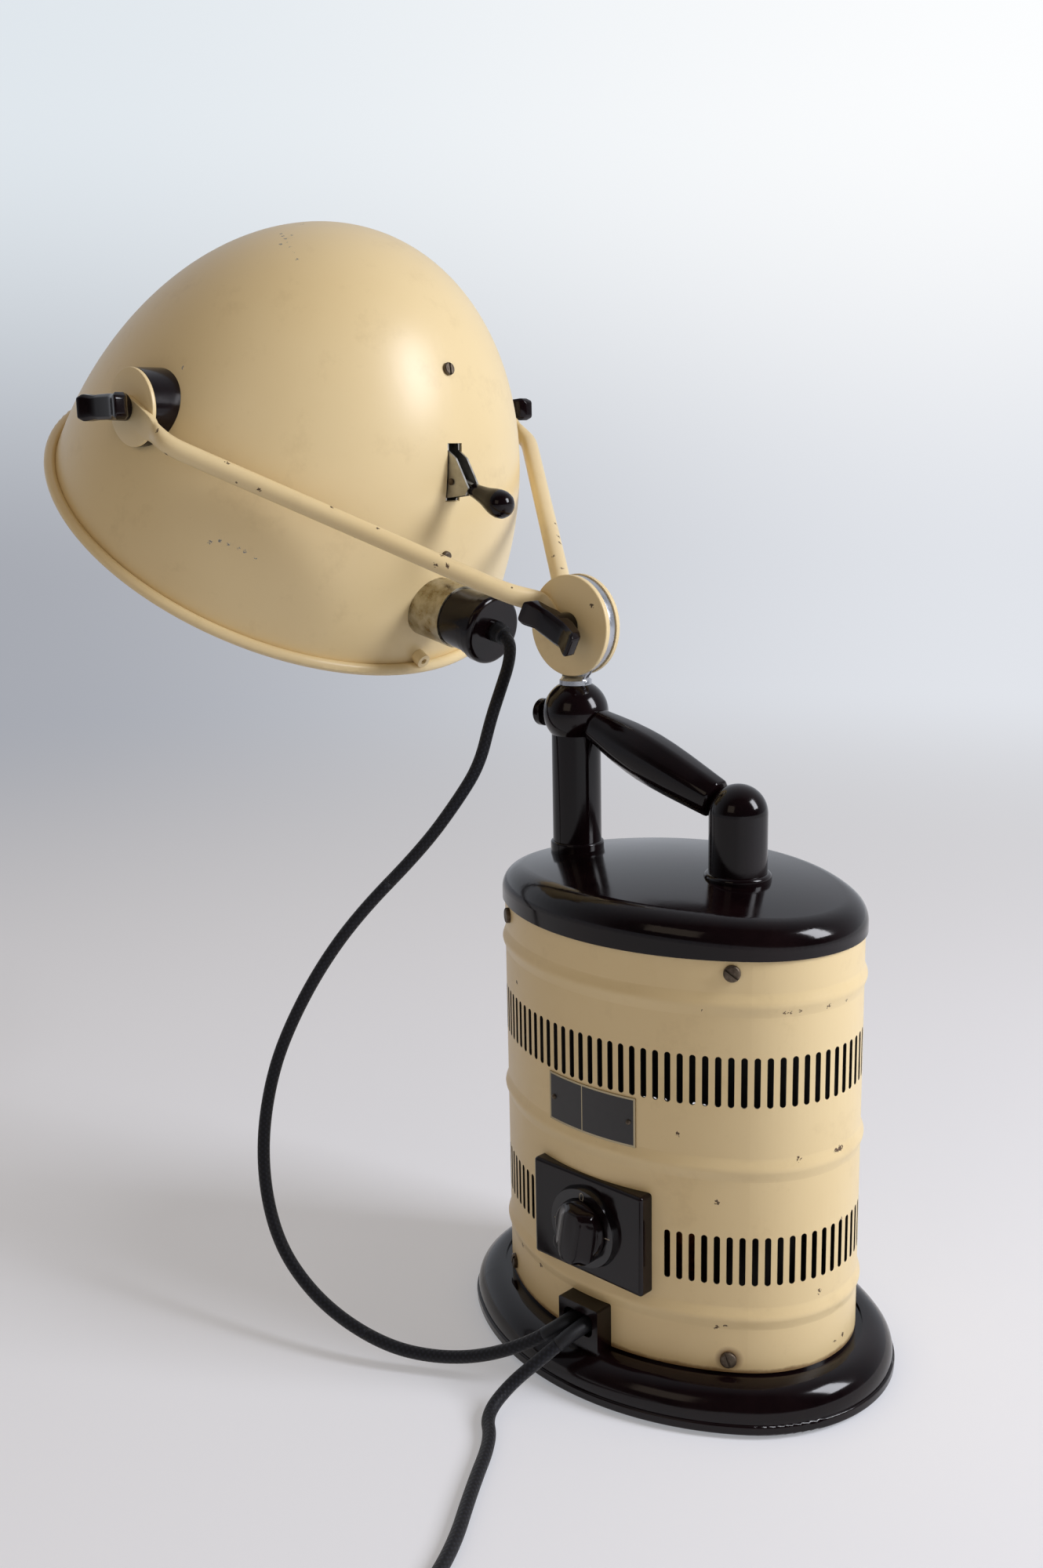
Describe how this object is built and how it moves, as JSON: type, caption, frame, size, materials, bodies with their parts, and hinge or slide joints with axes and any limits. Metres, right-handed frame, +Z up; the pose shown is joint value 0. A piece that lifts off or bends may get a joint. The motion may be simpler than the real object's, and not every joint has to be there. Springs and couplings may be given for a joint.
{
  "type": "uv sun lamp",
  "caption": "Table sun lamp with a deep enamelled dome shade on a two-arm fork, elbow and swivel column over an oval ventilated base with a rotary switch",
  "frame": {"origin": "the middle of the oval base on the surface that the felt stands on", "axes": "+X runs along the oval from the column towards the rear post, -Y is the side with the switch, nameplate and cable inlet, +Z is up"},
  "size_m": [0.7152, 0.5265, 0.6477],
  "materials": {
    "felt": "matte",
    "bakelite": "gloss",
    "enamel": "gloss",
    "nickel": "satin",
    "nameplate_metal": "satin",
    "brass": "satin",
    "switch_plastic": "matte",
    "steel": "satin",
    "core_iron": "matte",
    "copper": "satin",
    "can": "satin",
    "porcelain": "gloss",
    "cord_textile": "matte",
    "reflector_aluminium": "polished",
    "quartz": "gloss"
  },
  "bodies": {
    "base": {"felt_mat": "felt", "foot_flange": "bakelite", "casing": "enamel", "body_screws": "nickel", "nameplate": "nameplate_metal", "nameplate_rivets": "brass", "switch_plate": "bakelite", "switch_dial": "nickel", "rotary_switch": "switch_plastic", "cable_inlet": "bakelite", "inlet_gland": "switch_plastic", "chassis_plate": "steel", "choke_core": "core_iron", "choke_winding": "copper", "capacitor": "can", "terminal_block": "porcelain", "top_cover": "bakelite", "column": "bakelite", "column_ball": "bakelite", "grip": "bakelite", "rear_post": "bakelite", "head_cord_lower": "cord_textile", "mains_cord": "cord_textile", "mains_cord_coil": "cord_textile", "mains_plug": "bakelite", "mains_plug_pins": "brass"},
    "stem": {"swivel_stem": "nickel", "head_cord_middle": "cord_textile"},
    "thumb_screw": {"thumb_screw": "nickel"},
    "switch_knob": {"switch_knob": "bakelite"},
    "fork": {"rear_elbow_disc": "enamel", "front_elbow_disc": "enamel", "rear_fork_arm": "enamel", "front_fork_arm": "enamel", "elbow_bolt": "nickel"},
    "elbow_nut": {"elbow_wing_nut": "bakelite"},
    "front_nut": {"front_pivot_wing_nut": "bakelite"},
    "rear_nut": {"rear_pivot_wing_nut": "bakelite"},
    "head": {"shade": "enamel", "shade_rim": "enamel", "rim_boss": "nickel", "rear_pivot_drum": "bakelite", "front_pivot_drum": "bakelite", "pivot_bolts": "steel", "shade_screws": "nickel", "lever_bracket": "nickel", "bracket_pins": "steel", "reflector": "reflector_aluminium", "rear_heater_rod": "steel", "front_heater_rod": "steel", "socket_ring": "nickel", "socket_insert": "porcelain", "head_plug": "bakelite", "head_cord_upper": "cord_textile"},
    "lever": {"burner_lever": "steel", "lever_knob": "bakelite"},
    "cradle": {"burner_cradle": "steel", "burner_tube": "quartz", "burner_caps": "porcelain"}
  },
  "joints": [
    {"name": "stem_swivel", "type": "hinge", "parent": "base", "child": "stem", "pos_m": [-0.0745, 0, 0.3567], "axis": [0, 0, 1], "range_deg": [-90, 90], "deforming": ["head_cord_upper", "head_cord_middle", "head_cord_lower"]},
    {"name": "elbow_hinge", "type": "hinge", "parent": "stem", "child": "fork", "pos_m": [-0.0745, 0, 0.4069], "axis": [0, 1, 0], "range_deg": [-25, 55], "deforming": ["head_cord_upper", "head_cord_middle", "head_cord_lower"]},
    {"name": "head_tilt", "type": "hinge", "parent": "fork", "child": "head", "pos_m": [-0.28701, 0, 0.53358], "axis": [0, 1, 0], "range_deg": [-8, 60], "deforming": ["head_cord_upper", "head_cord_middle", "head_cord_lower"]},
    {"name": "thumb_screw_turn", "type": "hinge", "parent": "base", "child": "thumb_screw", "pos_m": [-0.1, 0, 0.3543], "axis": [-1, 0, 0], "continuous": true},
    {"name": "switch_turn", "type": "hinge", "parent": "base", "child": "switch_knob", "pos_m": [0.002, -0.09, 0.093], "axis": [0, -1, 0], "continuous": true},
    {"name": "elbow_nut_turn", "type": "hinge", "parent": "fork", "child": "elbow_nut", "pos_m": [-0.0745, -0.012, 0.4069], "axis": [0, -1, 0], "continuous": true},
    {"name": "front_nut_turn", "type": "hinge", "parent": "fork", "child": "front_nut", "pos_m": [-0.28701, -0.157, 0.53358], "axis": [0, -1, 0], "continuous": true},
    {"name": "rear_nut_turn", "type": "hinge", "parent": "fork", "child": "rear_nut", "pos_m": [-0.28701, 0.157, 0.53358], "axis": [0, 1, 0], "continuous": true},
    {"name": "lever_tip", "type": "hinge", "parent": "head", "child": "lever", "pos_m": [-0.16772, 0, 0.48724], "axis": [0, 1, 0], "range_deg": [-12, 12]},
    {"name": "burner_rock", "type": "hinge", "parent": "head", "child": "cradle", "pos_m": [-0.26911, 0, 0.5589], "axis": [0, 1, 0], "range_deg": [-9, 9]}
  ],
  "couplings": [
    {"joint": "burner_rock", "follows": "lever_tip", "ratio": -0.72}
  ]
}
